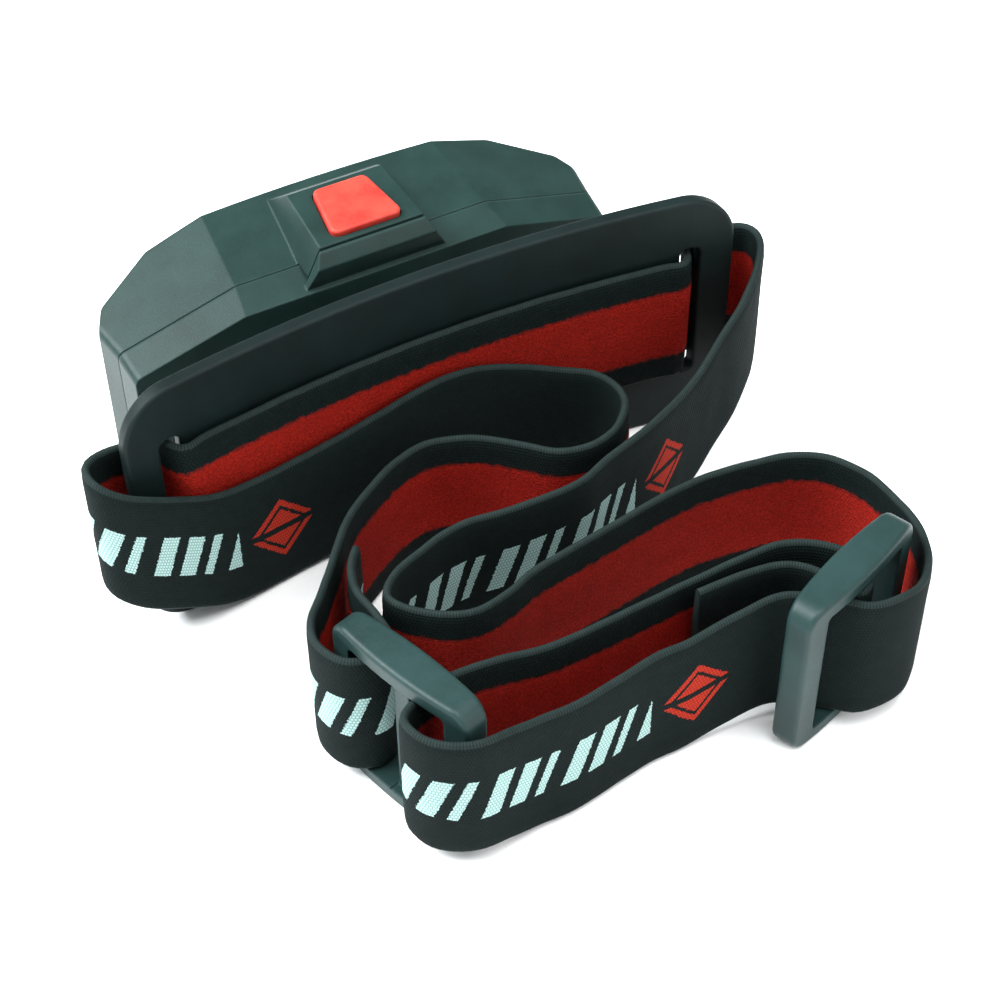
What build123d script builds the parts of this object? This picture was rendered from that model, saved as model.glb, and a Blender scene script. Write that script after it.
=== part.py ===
"""Light-bar headlamp on a bowed forehead plate, with its folded 25 mm elastic head strap.

Millimetres. +Z is up, +Y is the way the lamp shines and +X runs along the light bar. The origin is the
middle of the plate's lower edge, which stands on the table with the case and the strap.
"""

import os
from math import atan2, cos, degrees, radians, sin

from build123d import *

os.makedirs("parts", exist_ok=True)

# ---- forehead plate
PLATE_LENGTH = 110.6
PLATE_HEIGHT = 48.0
PLATE_THICKNESS = 2.6
PLATE_BOW = 5.8  # how far the plate's ends stand behind its middle
PLATE_CORNER = 9.0
PLATE_EDGE = 0.5  # rounding of the plate's and slots' edges
SLOT_WIDTH = 3.6
SLOT_OFFSET = 47.6  # slot centre from the middle of the plate

# ---- webbing
STRAP_WIDTH = 25.0
STRAP_THICKNESS = 1.5
STRAP_SIDE_GAP = 0.3
SLOT_HEIGHT = STRAP_WIDTH + 2.0
SLOT_LOW = 11.2

# ---- lamp case
WALL = 1.8
FIT = 0.25  # gap between pieces that are only held against each other
REAR_Y = 17.0
PARTING_Y = 23.0
FRONT_Y = 40.6
CASE_HALF = 45.2  # half length of the case at the parting line
FLARE = 2.6  # how much longer each end is at the front
TOP_REAR = 36.9
TOP_PARTING = 38.6
TOP_FRONT = 41.7
FLAT_HALF = 23.6  # half length of the level middle of the top
FLAT_HALF_FRONT = 22.0
TOP_FALL = 0.265  # slope of the top facets
BASE_HALF = 31.0  # half length of the level underside
BASE_RISE = 8.0  # height of the underside facets at the ends
TOP_ROUND = 1.6  # rounding of the case's upper outer edges
BASE_ROUND = 3.0  # rounding of its lower outer edges
PLAN_ROUND = 2.4  # rounding of its upright edges
PLAN_CORNERS = ((33.0, 39.2), (43.8, 33.4), (46.7, 28.0))  # the swept-back end in plan, front to back

# ---- hinge between plate and case
TILT_Y = 9.5
TILT_Z = 6.0
TILT_PIN_R = 1.5
TILT_KNUCKLE_R = 4.2
TILT_ARM_HALF = 11.1
EAR_INNER = 12.0
EAR_WIDTH = 4.2
RUNNING = 0.05  # radial clearance of a turning pin
WASHER_STEP = 0.4  # the washers are this much smaller than the knuckles

# ---- hinge between the two halves of the case
CASE_PIN_R = 0.9
CASE_KNUCKLE_R = 2.2
CASE_HINGE_HALF = 34.8
CASE_HINGE_SPLITS = (9.0, 23.0)
KNUCKLE_GAP = 0.2

# ---- ridge and button
RIDGE_REAR_Y = 19.1
RIDGE_FOOT = 12.3
RIDGE_FOOT_FRONT = 11.2
RIDGE_TOP = 9.6
RIDGE_TOP_FRONT = 8.6
RIDGE_Z = 43.8
RIDGE_RISE = 0.10  # slope of the ridge's crest towards the front
NOSE_Y = 33.3  # the crest ends here and the ridge falls to the front edge
NOSE_FALL = 0.70  # slope of that fall
RIDGE_LIFT = 0.2  # gap between the ridge's overhang and the rear half's roof
TAB_LIP = 41.0  # height of the finger tab's rear edge
TAB_TOP = 43.4
TAB_BASE = 37.0
TAB_FRONT_Y = 18.85
TAB_THICKNESS = 1.0  # at the root, below the lip
LIP_THICKNESS = 0.4
BUTTON_Y = 26.0
BUTTON_REAR_HALF = 6.7
BUTTON_FRONT_HALF = 5.0
BUTTON_DEPTH = 11.4
BUTTON_CORNER = 1.4
BUTTON_PROUD = 1.0
BUTTON_TRAVEL = 0.9
BUTTON_EDGE = 0.5
CAP_DEPTH = 0.4  # how far the cap itself reaches below the crest
STEM_Y = 25.4  # the stem stands in front of this line
BUTTON_GAP = 0.2
CREST_WALL = 2.1
FLANGE_OVER = 0.7
FLANGE_GAP = 0.1
FLANGE_THICKNESS = 0.8

# ---- window and light bar
WINDOW_HALF = 38.5
WINDOW_LOW = 8.8
WINDOW_HIGH = 32.4
WINDOW_CORNER = 4.0
LENS_RECESS = 0.4
LENS_FLANGE = 0.8
SEAL_THICKNESS = 0.5
SEAL_WIDTH = 1.6
SEAL_OUTER = 0.55  # the parting seal's band, in from the case's outline
SEAL_BAND = 0.7
SEAL_DEPTH = 1.0
SEAL_PLAY = 0.05
SEAL_LOW = 5.0
LED_BOARD_Y = 34.0
LED_BOARD_THICKNESS = 1.2
LED_BOARD_HALF = 33.0
LED_BOARD_HEIGHT = 13.0
STRIP_HALF = 29.0
STRIP_HEIGHT = 6.0
STRIP_THICKNESS = 0.8
REFLECTOR_HALF = 34.5
REFLECTOR_GAP = 0.8
FUNNEL_THROAT = 1.0  # the funnel's margin round the light bar at its throat
FUNNEL_END = 3.5  # and at its mouth, at the ends
FUNNEL_SIDE = 6.5  # and above and below
REFLECTOR_DEPTH = 2.4  # from the light bar's board to the mouth of the funnel
DRIVER_Y = 31.4
DRIVER_THICKNESS = 1.0
DRIVER_HALF = 25.0
DRIVER_HEIGHT = 26.0
DRIVER_Z = 21.0
CHIP_HEIGHT = 1.1
SQUARE_CHIP = 4.0
LONG_CHIP = (5.0, 3.0)
SQUARE_CHIP_PLACES = ((-14, 15), (4, 24))
LONG_CHIP_PLACES = ((-4, 12), (13, 27))
BOARD_CORNER = 1.0

# ---- cells and their tray
CELL_R = 5.25
CELL_LENGTH = 44.5
CELL_NUB_R = 2.75
CELL_NUB = 0.8
CELL_PITCH = 10.7
CELL_Y = 24.6
CELL_LOW_Z = 9.9
SPRING_LENGTH = 4.2
SPRING_R = 2.6
SPRING_WIRE_R = 0.28
CONTACT_THICKNESS = 0.25
TRAY_Y = 30.0
TRAY_FLOOR = 0.9
TRAY_END = 1.2
TRAY_HALF = 32.5
TRAY_LOW = 6.0
TRAY_HIGH = 35.0
TRAY_CORNER = 1.5
TRAY_REAR_Y = 20.5  # rear edge of the tray's end walls
END_LOW_TRIM = 0.4
END_HIGH_TRIM = 2.0
RIB_Y = 27.6
RIB_THICKNESS = 1.0
REST_INSET = 1.5
REST_WIDTH = 2.0
REST_SPAN = (12.0, 32.0)  # height of the ribs that the driver board rests against
LEAD_Y = 28.4
LEAD_BEND = 1.0
CONTACT_HALF = 3.6
SPRING_TURNS = 3
CELL_EDGE = 0.4
SCREW_X = 20.0
SCREW_Z = (4.0, 36.0)
SCREW_R = 0.8
SCREW_HEAD_R = 1.4
SCREW_HEAD = 0.8
SCREW_LENGTH = 5.0
BOSS_HALF = 2.2
BOSS_SPANS = ((0.6, 6.0), (34.4, 39.2))  # heights of the lower and the upper screw bosses
BOSS_EXTRA = 1.0
TAB_SPAN = (2.4, 37.4)  # height of the tray's screw tabs
POST_X = 30.0
POST_Z = (16.0, 25.0)
POST_R = 1.6
LEAD_R = 0.55
LEAD_X = 27.6

# ---- switch under the button, measured down from the crest
SWITCH_SHIFT = 1.5  # the switch stands this far in front of the button's middle
SWITCH_SIZE = 6.0
SWITCH_TOP = 4.05
SWITCH_HEIGHT = 1.7
SWITCH_FLOOR = 0.3
SWITCH_BOARD = 0.8
SWITCH_BOARD_LENGTH = 17.6
LEDGE_X = 9.0
LEDGE_WIDTH = 3.0
LEDGE_THICKNESS = 0.7
PLUNGER_R = 1.7
PLUNGER_LENGTH = 1.45
PLUNGER_GAP = 0.05

# ---- three-bar strap adjusters
BUCKLE_LENGTH = 28.0
BUCKLE_THICKNESS = 6.4  # across the middle of a rail
BUCKLE_END_THICKNESS = 4.2
BUCKLE_RAIL = 2.7
BUCKLE_HEIGHT = STRAP_WIDTH + 2 * (BUCKLE_RAIL + STRAP_SIDE_GAP)
BUCKLE_END_BAR = 4.2
BUCKLE_MID_BAR = 3.0
BUCKLE_CORNER = 3.4
BUCKLE_OPENING_CORNER = 1.0
BUCKLE_EDGE = 0.8

BUCKLE_A_PLACE = (-34.0, -57.5, -73.5)  # middle of the adjuster and the turn of its length
BUCKLE_B_PLACE = (32.5, -73.0, 19.9)

# ---- run of the webbing from one cut end to the other: stops of (x, y, height of the lower edge)
SLOT_EDGE = SLOT_LOW + 1.0
STRAP_STOPS = (
    (
        "strap_tail_b",
        [(11, -64.2, 3), (20, -64.6, 3), (26, -66.2, 3), (29.3, -70, 3), (29.3, -74, 3)]
        + [(32.3, -76.4, 3), (35.7, -73.4, 3), (35.6, -69, 3), (32, -64.5, 3)],
    ),
    (
        "strap_rear_pass",
        [(27, -62, 3), (20, -61.2, 2.4), (8, -60.5, 1), (-3, -61, 1), (-13, -61, 1)]
        + [(-21, -60.5, 2.4), (-28, -60.3, 3), (-33, -61.3, 3), (-37, -62.8, 3), (-38.3, -65, 3)],
    ),
    (
        "strap_front_pass",
        [(-36.8, -69.5, 3), (-32, -72.8, 3), (-26, -72.6, 2), (-20, -72, 0.8), (-14, -72, 0.5)]
        + [(-7, -71, 0.5), (0, -70, 0.5), (6, -70, 0.5), (14, -70, 1.6), (21.6, -71, 3)],
    ),
    (
        "strap_right_loop",
        [(28, -75.7, 3), (32, -79.2, 3), (37, -80, 3), (42, -78.4, 2), (47, -73.5, 1)]
        + [(50, -67, 0.4), (50.5, -60, 0.3), (50, -54, 0.3), (47, -48, 0.3), (42, -44.5, 0.3)],
    ),
    (
        "strap_fourth_pass",
        [(36, -43, 0.3), (29, -42, 0.3), (22, -42, 0.3), (14, -43, 0.3), (4, -44.5, 0.3)]
        + [(-6, -46, 0.3), (-12, -48, 0.3), (-18, -49, 0.3), (-23, -47, 0.3)],
    ),
    (
        "strap_third_pass",
        [(-27, -43, 0.3), (-28.3, -39.3, 0.3), (-25, -36, 0.3), (-20, -34, 0.3), (-15, -32.4, 0.3)]
        + [(-10, -32, 0.3), (-2, -33, 0.3), (9, -33, 0.3), (16, -30.6, 0.3), (27, -27, 0.3)],
    ),
    (
        "strap_right_end",
        [(38, -22, 0.5), (45, -19, 4.5), (51, -16.4, 8), (57, -12, 11.2), (60.6, -7, SLOT_EDGE)]
        + [(60.2, -3.2, SLOT_EDGE), (56.5, -1.6, SLOT_EDGE), (52.5, -1.9, SLOT_EDGE)],
    ),
    (
        "strap_forehead",
        [(50, -2.0, SLOT_EDGE), (48.3, -2.9, SLOT_EDGE), (47.6, -4.3, SLOT_EDGE)]
        + [(46.9, -5.7, SLOT_EDGE), (45.0, -6.8, SLOT_EDGE), (40, -5.6, SLOT_EDGE)]
        + [(20, -3.2, SLOT_EDGE), (0, -2.4, SLOT_EDGE), (-20, -3.2, SLOT_EDGE)]
        + [(-40, -5.6, SLOT_EDGE), (-45.0, -6.8, SLOT_EDGE), (-46.9, -5.7, SLOT_EDGE)]
        + [(-47.6, -4.3, SLOT_EDGE), (-48.3, -2.9, SLOT_EDGE), (-50, -2.0, SLOT_EDGE)],
    ),
    (
        "strap_left_end",
        [(-52.5, -1.9, SLOT_EDGE), (-57, -1.6, SLOT_EDGE), (-60.6, -3.4, SLOT_EDGE)]
        + [(-60.4, -7.6, 11.6), (-56.5, -9.6, 9), (-50, -9.6, 5.5), (-43, -8.8, 2)],
    ),
    (
        "strap_first_pass",
        [(-36, -7.6, 0.7), (-28, -6.4, 0.6), (-21, -5.6, 1), (-12, -5.2, 2.6), (-3, -5, 4.6)]
        + [(5, -5, 4.6), (12, -5.5, 2.8), (20, -8, 0.6), (25, -12, 0.5), (26.5, -17, 0.5)],
    ),
    (
        "strap_second_pass",
        [(25, -21.5, 0.5), (20.4, -25.4, 0.4), (15, -26.5, 0.3), (10, -25, 0.3), (5, -20, 0.3)]
        + [(0, -15.6, 0.3), (-7, -13, 0.3), (-13, -14, 0.3), (-19, -17, 0.3), (-25, -21, 0.3)],
    ),
    (
        "strap_tail_a",
        [(-29, -25, 0.3), (-33, -30, 0.5), (-38, -36.5, 2), (-41.5, -41, 3), (-42.6, -45.5, 3)]
        + [(-40.6, -50.2, 3), (-36, -51.8, 3), (-32.8, -49.5, 3), (-32.4, -44, 3)]
        + [(-32.6, -38, 2.4), (-30.5, -32, 1), (-28, -28.5, 0.6)],
    ),
)

MID_Z = (WINDOW_LOW + WINDOW_HIGH) / 2
CREST_ANGLE = degrees(atan2(RIDGE_RISE, 1))
PLATE_RADIUS = ((PLATE_LENGTH / 2) ** 2 + PLATE_BOW**2) / (2 * PLATE_BOW)


def save(part, name):
    part.label = name
    export_step(part, f"parts/{name}.step")


def at_y(y):
    """An upright plane across the lamp: local x is +X, local y is +Z, and it faces -Y."""
    return Plane.XZ.offset(-y)


def along_x(x):
    """An upright plane across the X axis: local x is +Y and local y is +Z."""
    return Plane.YZ.offset(x)


def outline(y, top, flat_half, half, inset=0.0):
    """The case's eight-sided cross section at one depth, drawn on the current sketch."""
    fall = TOP_FALL * (half - flat_half)
    points = [
        (-BASE_HALF, 0),
        (BASE_HALF, 0),
        (half, BASE_RISE),
        (half, top - fall),
        (flat_half, top),
        (-flat_half, top),
        (-half, top - fall),
        (-half, BASE_RISE),
    ]
    with BuildSketch(at_y(y)) as section:
        with BuildLine():
            Polyline(*points, close=True)
        make_face()
        if inset:
            offset(amount=-inset, kind=Kind.INTERSECTION, mode=Mode.REPLACE)
        ends = [v for v in section.vertices() if abs(v.X) > FLAT_HALF + 4]
        if inset < TOP_ROUND:
            fillet([v for v in ends if v.Y > TOP_REAR / 2], TOP_ROUND - inset)
        if inset < BASE_ROUND:
            fillet([v for v in ends if v.Y < TOP_REAR / 2], BASE_ROUND - inset)
    return section.sketch


def plan_face(inset=0.0):
    """The front half seen from above, from behind the parting line to the bowed front."""
    rear_y = REAR_Y - 2
    right = [*PLAN_CORNERS, (PLAN_CORNERS[-1][0], rear_y)]
    left = [(-x, y) for x, y in reversed(right)]
    with BuildSketch() as face:
        with BuildLine():
            Polyline(*right, *left)
            ThreePointArc(left[-1], (0, FRONT_Y), right[0])
        make_face()
        if inset:
            offset(amount=-inset, kind=Kind.INTERSECTION, mode=Mode.REPLACE)
        if inset < PLAN_ROUND:
            fillet([v for v in face.vertices() if v.Y > PARTING_Y], PLAN_ROUND - inset)
    return face.sketch


def front_block(inset=0.0):
    """The front half of the case as one block, faceted outside and swept back at both ends."""
    with BuildPart() as block:
        add(outline(PARTING_Y + FIT, TOP_PARTING, FLAT_HALF, CASE_HALF, inset))
        add(outline(FRONT_Y, TOP_FRONT, FLAT_HALF_FRONT, CASE_HALF + FLARE, inset))
        loft(ruled=True)
        with BuildSketch(Plane.XY.offset(-1)):
            add(plan_face(inset))
        extrude(amount=PLATE_HEIGHT, mode=Mode.INTERSECT)
    return block.part


def rear_block(inset=0.0):
    """The rear half of the case as one block, narrowing a little towards its back."""
    with BuildPart() as block:
        add(outline(REAR_Y + inset, TOP_REAR, FLAT_HALF + 1, CASE_HALF - 0.4, inset))
        add(outline(PARTING_Y, TOP_PARTING, FLAT_HALF, CASE_HALF, inset))
        loft(ruled=True)
    return block.part


def front_skin(outer_inset, inner_inset, half, low, high, corner):
    """A piece of a layer that follows the front of the case, cut to a rounded rectangle."""
    with BuildPart() as skin:
        with BuildSketch():
            add(plan_face(outer_inset))
            add(plan_face(inner_inset), mode=Mode.SUBTRACT)
        extrude(amount=PLATE_HEIGHT)
        with BuildSketch(at_y(LED_BOARD_Y - 4)):
            with Locations((0, (low + high) / 2)):
                RectangleRounded(2 * half, high - low, corner)
        extrude(amount=-20, mode=Mode.INTERSECT)
    return skin.part


def rod(x_low, x_high, y, z, radius):
    """A round bar along X."""
    with BuildPart() as bar:
        with BuildSketch(along_x(x_low)):
            with Locations((y, z)):
                Circle(radius)
        extrude(amount=x_high - x_low)
    return bar.part


def ridge_block(inset=0.0):
    """The raised ridge on top of the front half, with its sloping nose."""
    low = TOP_PARTING - WALL - 1
    with BuildPart() as ridge:
        for y, foot, crest in (
            (RIDGE_REAR_Y + inset, RIDGE_FOOT, RIDGE_TOP),
            (FRONT_Y, RIDGE_FOOT_FRONT, RIDGE_TOP_FRONT),
        ):
            z = RIDGE_Z + RIDGE_RISE * (y - RIDGE_REAR_Y)
            slant = (foot - crest) / (z - TOP_PARTING)
            with BuildSketch(at_y(y)):
                with BuildLine():
                    Polyline(
                        (-foot - slant * (TOP_PARTING - low) + inset, low),
                        (foot + slant * (TOP_PARTING - low) - inset, low),
                        (crest - inset, z - inset),
                        (-crest + inset, z - inset),
                        close=True,
                    )
                make_face()
        loft(ruled=True)
        with BuildSketch(Plane.XY):
            add(plan_face(inset))
        extrude(amount=2 * PLATE_HEIGHT, mode=Mode.INTERSECT)
        nose_z = RIDGE_Z + RIDGE_RISE * (NOSE_Y - RIDGE_REAR_Y)
        above = 2 * (nose_z - low)
        with BuildSketch(along_x(-2 * RIDGE_FOOT)):
            with BuildLine():
                Polyline(
                    (NOSE_Y - above / NOSE_FALL, nose_z + above),
                    (NOSE_Y + above / NOSE_FALL, nose_z - above),
                    (NOSE_Y + above / NOSE_FALL, nose_z + above),
                    close=True,
                )
            make_face()
            if inset:
                offset(amount=inset, kind=Kind.INTERSECTION, mode=Mode.REPLACE)
        extrude(amount=4 * RIDGE_FOOT, mode=Mode.SUBTRACT)
    return ridge.part


def crest_plane(depth=0.0):
    """The plane of the ridge's crest under the button, or one that far below it."""
    z = RIDGE_Z + RIDGE_RISE * (BUTTON_Y - RIDGE_REAR_Y)
    normal = (0, -sin(radians(CREST_ANGLE)), cos(radians(CREST_ANGLE)))
    return Plane(origin=(0, BUTTON_Y, z), x_dir=(1, 0, 0), z_dir=normal).offset(-depth)


def button_face(grow=0.0):
    """The button's outline on the crest, a little narrower towards the front."""
    half = BUTTON_DEPTH / 2 + grow
    with BuildSketch() as face:
        with BuildLine():
            Polyline(
                (-BUTTON_REAR_HALF - grow, -half),
                (BUTTON_REAR_HALF + grow, -half),
                (BUTTON_FRONT_HALF + grow, half),
                (-BUTTON_FRONT_HALF - grow, half),
                close=True,
            )
        make_face()
        fillet(vertices(), BUTTON_CORNER + grow)
    return face.sketch


def stem_face(grow=0.0):
    """The part of the button's outline in front of the stem line, for the stem and its flange."""
    reach = BUTTON_DEPTH / 2 + grow
    start = STEM_Y - BUTTON_Y - grow
    with BuildSketch() as face:
        add(button_face(grow))
        with Locations((0, start)):
            Rectangle(4 * reach, 2 * reach, align=(Align.CENTER, Align.MIN), mode=Mode.INTERSECT)
    return face.sketch


def box_from(low, high):
    """A plain block between two opposite corners."""
    with BuildPart() as block:
        with Locations(low):
            Box(*(b - a for a, b in zip(low, high)), align=Align.MIN)
    return block.part


def finger_tab():
    """The upright tab behind the ridge, with a lip over the hollow that a fingertip goes into."""
    slant = (RIDGE_FOOT - RIDGE_TOP) / (RIDGE_Z - TOP_PARTING)
    foot = RIDGE_TOP + slant * (RIDGE_Z - TAB_BASE + WALL)
    with BuildPart() as tab:
        with BuildSketch(along_x(-foot)):
            with BuildLine():
                Polyline(
                    (TAB_FRONT_Y - TAB_THICKNESS, TAB_BASE - WALL),
                    (TAB_FRONT_Y, TAB_BASE - WALL),
                    (TAB_FRONT_Y, TAB_TOP),
                    (REAR_Y, TAB_LIP),
                    (REAR_Y, TAB_LIP - LIP_THICKNESS),
                    (TAB_FRONT_Y - TAB_THICKNESS, TAB_BASE),
                    close=True,
                )
            make_face()
        extrude(amount=2 * foot)
        with BuildSketch(at_y(REAR_Y - 1)):
            with BuildLine():
                Polyline(
                    (-foot, TAB_BASE - WALL),
                    (foot, TAB_BASE - WALL),
                    (RIDGE_TOP, RIDGE_Z),
                    (-RIDGE_TOP, RIDGE_Z),
                    close=True,
                )
            make_face()
        extrude(amount=-(TAB_FRONT_Y - REAR_Y + 2), mode=Mode.INTERSECT)
    return tab.part


# ---- bracket_plate: bowed plate with two strap slots and the ears of the tilt hinge
with BuildPart() as bracket_plate:
    with BuildSketch(Plane.XY.offset(-1)):
        with Locations((0, PLATE_THICKNESS / 2 - PLATE_RADIUS)):
            Circle(PLATE_RADIUS)
            Circle(PLATE_RADIUS - PLATE_THICKNESS, mode=Mode.SUBTRACT)
        with Locations((0, -PLATE_BOW)):
            Rectangle(PLATE_LENGTH + 2, 4 * PLATE_BOW, mode=Mode.INTERSECT)
    extrude(amount=PLATE_HEIGHT + 2)
    with BuildSketch(at_y(-4 * PLATE_BOW)):
        with Locations((0, PLATE_HEIGHT / 2)):
            RectangleRounded(PLATE_LENGTH, PLATE_HEIGHT, PLATE_CORNER)
        with Locations(
            (-SLOT_OFFSET, SLOT_LOW + SLOT_HEIGHT / 2), (SLOT_OFFSET, SLOT_LOW + SLOT_HEIGHT / 2)
        ):
            RectangleRounded(SLOT_WIDTH, SLOT_HEIGHT, SLOT_WIDTH / 2.5, mode=Mode.SUBTRACT)
    extrude(amount=-8 * PLATE_BOW, mode=Mode.INTERSECT)
    broad_faces = bracket_plate.faces().filter_by(GeomType.CYLINDER).sort_by(SortBy.AREA)[-2:]
    fillet(broad_faces.edges(), PLATE_EDGE)
    for side in (-1, 1):
        inner = side * EAR_INNER
        with BuildSketch(along_x(inner)):
            with Locations((TILT_Y, TILT_Z)):
                Circle(TILT_KNUCKLE_R)
            with Locations((0, TILT_Z)):
                Rectangle(TILT_Y, 2 * TILT_KNUCKLE_R, align=(Align.MIN, Align.CENTER))
            with Locations((TILT_Y, TILT_Z)):
                Circle(TILT_PIN_R, mode=Mode.SUBTRACT)
        extrude(amount=side * EAR_WIDTH)
save(bracket_plate.part, "bracket_plate")

# ---- tilt_pin and its friction washers
with BuildPart() as tilt_pin:
    ear_outer = EAR_INNER + EAR_WIDTH
    add(rod(-ear_outer, ear_outer, TILT_Y, TILT_Z, TILT_PIN_R))
save(tilt_pin.part, "tilt_pin")

with BuildPart() as tilt_washers:
    for side in (-1, 1):
        with BuildSketch(along_x(side * (TILT_ARM_HALF + RUNNING))):
            with Locations((TILT_Y, TILT_Z)):
                Circle(TILT_KNUCKLE_R - WASHER_STEP)
                Circle(TILT_PIN_R + RUNNING, mode=Mode.SUBTRACT)
        extrude(amount=side * (EAR_INNER - TILT_ARM_HALF - 2 * RUNNING))
save(tilt_washers.part, "tilt_washers")

# ---- rear_shell: shallow back of the case with the finger tab, the tilt arm and its hinge knuckles
rear_knuckles = (
    (-CASE_HINGE_HALF, -CASE_HINGE_SPLITS[1] - KNUCKLE_GAP / 2),
    (-CASE_HINGE_SPLITS[0] + KNUCKLE_GAP / 2, CASE_HINGE_SPLITS[0] - KNUCKLE_GAP / 2),
    (CASE_HINGE_SPLITS[1] + KNUCKLE_GAP / 2, CASE_HINGE_HALF),
)
front_knuckles = (
    (-CASE_HINGE_SPLITS[1] + KNUCKLE_GAP / 2, -CASE_HINGE_SPLITS[0] - KNUCKLE_GAP / 2),
    (CASE_HINGE_SPLITS[0] + KNUCKLE_GAP / 2, CASE_HINGE_SPLITS[1] - KNUCKLE_GAP / 2),
)
HINGE_RELIEF = CASE_KNUCKLE_R + KNUCKLE_GAP

with BuildPart() as rear_shell:
    add(rear_block())
    add(rear_block(WALL), mode=Mode.SUBTRACT)
    add(finger_tab())
    for low, high in front_knuckles:
        relief_start = (low - KNUCKLE_GAP, PARTING_Y - HINGE_RELIEF, -1)
        relief_end = (high + KNUCKLE_GAP, PARTING_Y + 1, CASE_KNUCKLE_R + HINGE_RELIEF)
        add(box_from(relief_start, relief_end), mode=Mode.SUBTRACT)
    for low, high in rear_knuckles:
        add(rod(low, high, PARTING_Y, CASE_KNUCKLE_R, CASE_KNUCKLE_R))
    add(
        rod(-CASE_HINGE_HALF, CASE_HINGE_HALF, PARTING_Y, CASE_KNUCKLE_R, CASE_PIN_R),
        mode=Mode.SUBTRACT,
    )
    with BuildSketch(along_x(-TILT_ARM_HALF)):
        with Locations((TILT_Y, TILT_Z)):
            Circle(TILT_KNUCKLE_R)
            arm = (REAR_Y - TILT_Y, 2 * TILT_KNUCKLE_R)
            Rectangle(*arm, align=(Align.MIN, Align.CENTER))
            Circle(TILT_PIN_R + RUNNING, mode=Mode.SUBTRACT)
    extrude(amount=2 * TILT_ARM_HALF)
save(rear_shell.part, "rear_shell")

with BuildPart() as case_pin:
    add(rod(-CASE_HINGE_HALF, CASE_HINGE_HALF, PARTING_Y, CASE_KNUCKLE_R, CASE_PIN_R))
save(case_pin.part, "case_pin")

# ---- front_shell: deep front of the case with the ridge, the window and the screw bosses
switch_bottom = SWITCH_TOP + SWITCH_HEIGHT
ledge_top = switch_bottom + SWITCH_BOARD

with BuildPart() as front_shell:
    add(front_block())
    add(ridge_block())
    overhang_end = PARTING_Y + FIT
    overhang_low = TOP_PARTING + RIDGE_LIFT
    add(
        box_from((-2 * RIDGE_FOOT, 0, 0), (2 * RIDGE_FOOT, overhang_end, overhang_low)),
        mode=Mode.SUBTRACT,
    )
    add(front_block(WALL), mode=Mode.SUBTRACT)
    hollow_start = (-2 * RIDGE_FOOT, STEM_Y - FLANGE_OVER - 0.5, 0)
    hollow = ridge_block(CREST_WALL) & box_from(hollow_start, (2 * RIDGE_FOOT, FRONT_Y, 2 * RIDGE_Z))
    add(hollow, mode=Mode.SUBTRACT)
    with BuildSketch(crest_plane(ledge_top)):
        with Locations((-LEDGE_X, SWITCH_SHIFT), (LEDGE_X, SWITCH_SHIFT)):
            Rectangle(LEDGE_WIDTH, SWITCH_SIZE)
    extrude(amount=-LEDGE_THICKNESS)
    with BuildSketch(crest_plane()):
        add(button_face(BUTTON_GAP))
    extrude(amount=-(CAP_DEPTH + BUTTON_TRAVEL + 0.1), mode=Mode.SUBTRACT)
    with BuildSketch(crest_plane()):
        add(stem_face(BUTTON_GAP))
    extrude(amount=-CREST_WALL - 0.5, mode=Mode.SUBTRACT)
    with BuildSketch(at_y(LED_BOARD_Y - 2)):
        with Locations((0, MID_Z)):
            RectangleRounded(2 * WINDOW_HALF, WINDOW_HIGH - WINDOW_LOW, WINDOW_CORNER)
    extrude(amount=-12, mode=Mode.SUBTRACT)
    for low, high in rear_knuckles:
        relief_start = (low - KNUCKLE_GAP, PARTING_Y - 1, -1)
        relief_end = (high + KNUCKLE_GAP, PARTING_Y + HINGE_RELIEF, CASE_KNUCKLE_R + HINGE_RELIEF)
        add(box_from(relief_start, relief_end), mode=Mode.SUBTRACT)
    for low, high in front_knuckles:
        add(rod(low, high, PARTING_Y, CASE_KNUCKLE_R, CASE_KNUCKLE_R))
    hinge_bore = CASE_PIN_R + RUNNING
    add(
        rod(-CASE_HINGE_HALF, CASE_HINGE_HALF, PARTING_Y, CASE_KNUCKLE_R, hinge_bore),
        mode=Mode.SUBTRACT,
    )
    for side in (-1, 1):
        for z, (low, high) in zip(SCREW_Z, BOSS_SPANS):
            x = side * SCREW_X
            boss_start = (x - BOSS_HALF, TRAY_Y + TRAY_FLOOR, low)
            add(box_from(boss_start, (x + BOSS_HALF, TRAY_Y + SCREW_LENGTH + BOSS_EXTRA, high)))
            with BuildSketch(at_y(TRAY_Y)):
                with Locations((x, z)):
                    Circle(SCREW_R)
            extrude(amount=-SCREW_LENGTH, mode=Mode.SUBTRACT)
    with BuildSketch(at_y(PARTING_Y + FIT)):
        add(outline(PARTING_Y + FIT, TOP_PARTING, FLAT_HALF, CASE_HALF, SEAL_OUTER))
        add(
            outline(PARTING_Y + FIT, TOP_PARTING, FLAT_HALF, CASE_HALF, SEAL_OUTER + SEAL_BAND),
            mode=Mode.SUBTRACT,
        )
        with Locations((0, SEAL_LOW)):
            Rectangle(2 * CASE_HALF, TOP_FRONT, align=(Align.CENTER, Align.MIN), mode=Mode.INTERSECT)
    extrude(amount=-SEAL_DEPTH, mode=Mode.SUBTRACT)
save(front_shell.part, "front_shell")

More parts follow.
